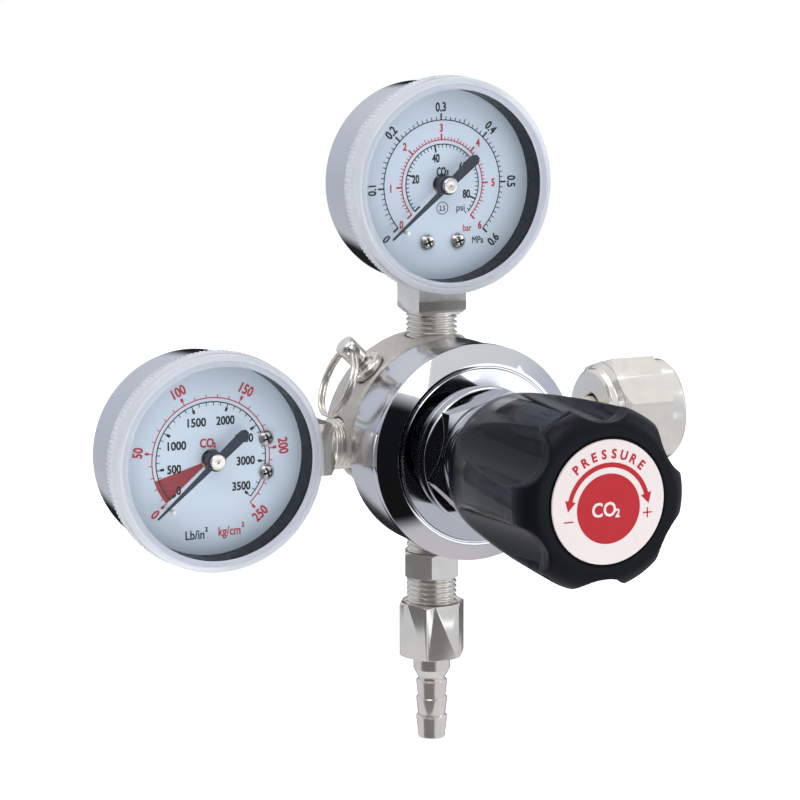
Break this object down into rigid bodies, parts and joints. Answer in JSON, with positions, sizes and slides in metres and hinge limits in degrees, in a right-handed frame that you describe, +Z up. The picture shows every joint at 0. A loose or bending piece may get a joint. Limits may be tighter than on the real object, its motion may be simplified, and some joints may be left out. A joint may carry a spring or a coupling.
{
  "type": "carbon dioxide regulator",
  "caption": "Gas regulator with two dial gauges, a fluted pressure knob, a relief valve with a pull ring, a cylinder nut and a hose barb.",
  "frame": {"origin": "centre of the inlet nipple's sealing face, where the regulator meets the cylinder valve", "axes": "+X out of the inlet towards the cylinder valve, +Z up towards the low-pressure gauge, -Y towards the knob and the dials' faces"},
  "size_m": [0.1671, 0.1215, 0.1745],
  "materials": {
    "chrome": "mirror chrome plate",
    "nickel": "bright nickel plate on brass",
    "brass": "machined brass",
    "steel": "zinc plated steel",
    "spring_steel": "spring steel wire",
    "black_plastic": "gloss moulded plastic",
    "clear_plastic": "clear polycarbonate",
    "white_print": "printed label",
    "dial_paint": "pale blue printed dial",
    "pointer_paint": "black painted brass",
    "rubber": "nitrile rubber",
    "nylon": "nylon",
    "bronze": "sintered bronze"
  },
  "bodies": {
    "body": {"regulator_body": "chrome", "bonnet": "chrome", "diaphragm": "rubber", "slip_ring": "steel", "adjusting_spring": "spring_steel", "valve_spring": "spring_steel", "relief_spring": "spring_steel", "valve_seat": "nylon", "inlet_washer": "nylon", "inlet_filter": "bronze", "valve_plug": "nickel", "inlet_nipple": "nickel", "relief_body": "nickel", "outlet_fitting": "nickel", "hose_barb": "nickel", "low_case": "chrome", "low_lens": "clear_plastic", "low_dial": "dial_paint", "low_dial_screw_1": "nickel", "low_dial_screw_2": "nickel", "low_stop_pin": "nickel", "low_socket": "nickel", "low_movement_frame": "brass", "low_bourdon_tube": "brass", "low_tube_tip": "brass", "high_case": "chrome", "high_lens": "clear_plastic", "high_dial": "dial_paint", "high_dial_screw_1": "nickel", "high_dial_screw_2": "nickel", "high_stop_pin": "nickel", "high_socket": "nickel", "high_movement_frame": "brass", "high_bourdon_tube": "brass", "high_tube_tip": "brass"},
    "feed": {"spring_button": "brass"},
    "knob": {"knob": "black_plastic", "knob_label": "white_print", "knob_insert": "brass", "adjusting_screw": "steel"},
    "valve_train": {"diaphragm_plate": "brass", "valve_poppet": "brass"},
    "relief_stem": {"relief_stem": "nickel", "relief_seal": "rubber"},
    "relief_ring": {"relief_ring": "nickel"},
    "inlet_nut": {"inlet_nut": "nickel"},
    "outlet_nut": {"outlet_nut": "nickel"},
    "low_pointer": {"low_arbor": "brass", "low_pointer": "pointer_paint", "low_pointer_cap": "nickel"},
    "low_sector": {"low_sector_gear": "brass"},
    "low_link": {"low_link": "brass"},
    "high_pointer": {"high_arbor": "brass", "high_pointer": "pointer_paint", "high_pointer_cap": "nickel"},
    "high_sector": {"high_sector_gear": "brass"},
    "high_link": {"high_link": "brass"}
  },
  "joints": [
    {"name": "screw_feed", "type": "slide", "parent": "body", "child": "feed", "axis": [0, 1, 0], "range_m": [0, 0.00715], "deforming": ["adjusting_spring"]},
    {"name": "knob_turn", "type": "hinge", "parent": "feed", "child": "knob", "pos_m": [-0.064, -0.0817, 0], "axis": [0, 1, 0], "range_deg": [0, 1710]},
    {"name": "valve_travel", "type": "slide", "parent": "body", "child": "valve_train", "axis": [0, 1, 0], "range_m": [0, 0.0008], "stiffness_N_per_m": 2000, "springref_m": -0.001, "deforming": ["valve_spring", "diaphragm"]},
    {"name": "relief_lift", "type": "slide", "parent": "body", "child": "relief_stem", "axis": [-0.7071, 0, 0.7071], "range_m": [0, 0.002], "stiffness_N_per_m": 2500, "springref_m": -0.002, "deforming": ["relief_spring"]},
    {"name": "ring_swing", "type": "hinge", "parent": "relief_stem", "child": "relief_ring", "pos_m": [-0.08861, -0.0152, 0.02461], "axis": [0, 1, 0], "range_deg": [0, 125]},
    {"name": "inlet_nut_turn", "type": "hinge", "parent": "body", "child": "inlet_nut", "pos_m": [0.001, 0, 0], "axis": [1, 0, 0], "continuous": true},
    {"name": "outlet_nut_turn", "type": "hinge", "parent": "body", "child": "outlet_nut", "pos_m": [-0.064, -0.0117, -0.051], "axis": [0, 0, 1], "continuous": true},
    {"name": "low_pointer_turn", "type": "hinge", "parent": "body", "child": "low_pointer", "pos_m": [-0.064, -0.0117, 0.06605], "axis": [0, 1, 0], "range_deg": [0, 266], "stiffness_Nm_per_rad": 0.0002, "springref_deg": -17.19},
    {"name": "low_sector_turn", "type": "hinge", "parent": "body", "child": "low_sector", "pos_m": [-0.07, -0.0117, 0.05365], "axis": [0, 1, 0], "range_deg": [-33.25, 0]},
    {"name": "low_link_turn", "type": "hinge", "parent": "low_sector", "child": "low_link", "pos_m": [-0.0745, -0.0117, 0.05365], "axis": [0, 1, 0], "range_deg": [0, 33.25]},
    {"name": "high_pointer_turn", "type": "hinge", "parent": "body", "child": "high_pointer", "pos_m": [-0.12763, -0.0117, 0], "axis": [0, 1, 0], "range_deg": [0, 270], "stiffness_Nm_per_rad": 0.0002, "springref_deg": -17.19},
    {"name": "high_sector_turn", "type": "hinge", "parent": "body", "child": "high_sector", "pos_m": [-0.11523, -0.0117, -0.006], "axis": [0, 1, 0], "range_deg": [-33.75, 0]},
    {"name": "high_link_turn", "type": "hinge", "parent": "high_sector", "child": "high_link", "pos_m": [-0.11523, -0.0117, -0.0105], "axis": [0, 1, 0], "range_deg": [0, 33.75]}
  ],
  "couplings": [
    {"joint": "screw_feed", "follows": "knob_turn", "m_per_rad": 0.00023873},
    {"joint": "low_sector_turn", "follows": "low_pointer_turn", "ratio": -0.125},
    {"joint": "low_link_turn", "follows": "low_pointer_turn", "ratio": 0.125},
    {"joint": "high_sector_turn", "follows": "high_pointer_turn", "ratio": -0.125},
    {"joint": "high_link_turn", "follows": "high_pointer_turn", "ratio": 0.125}
  ]
}
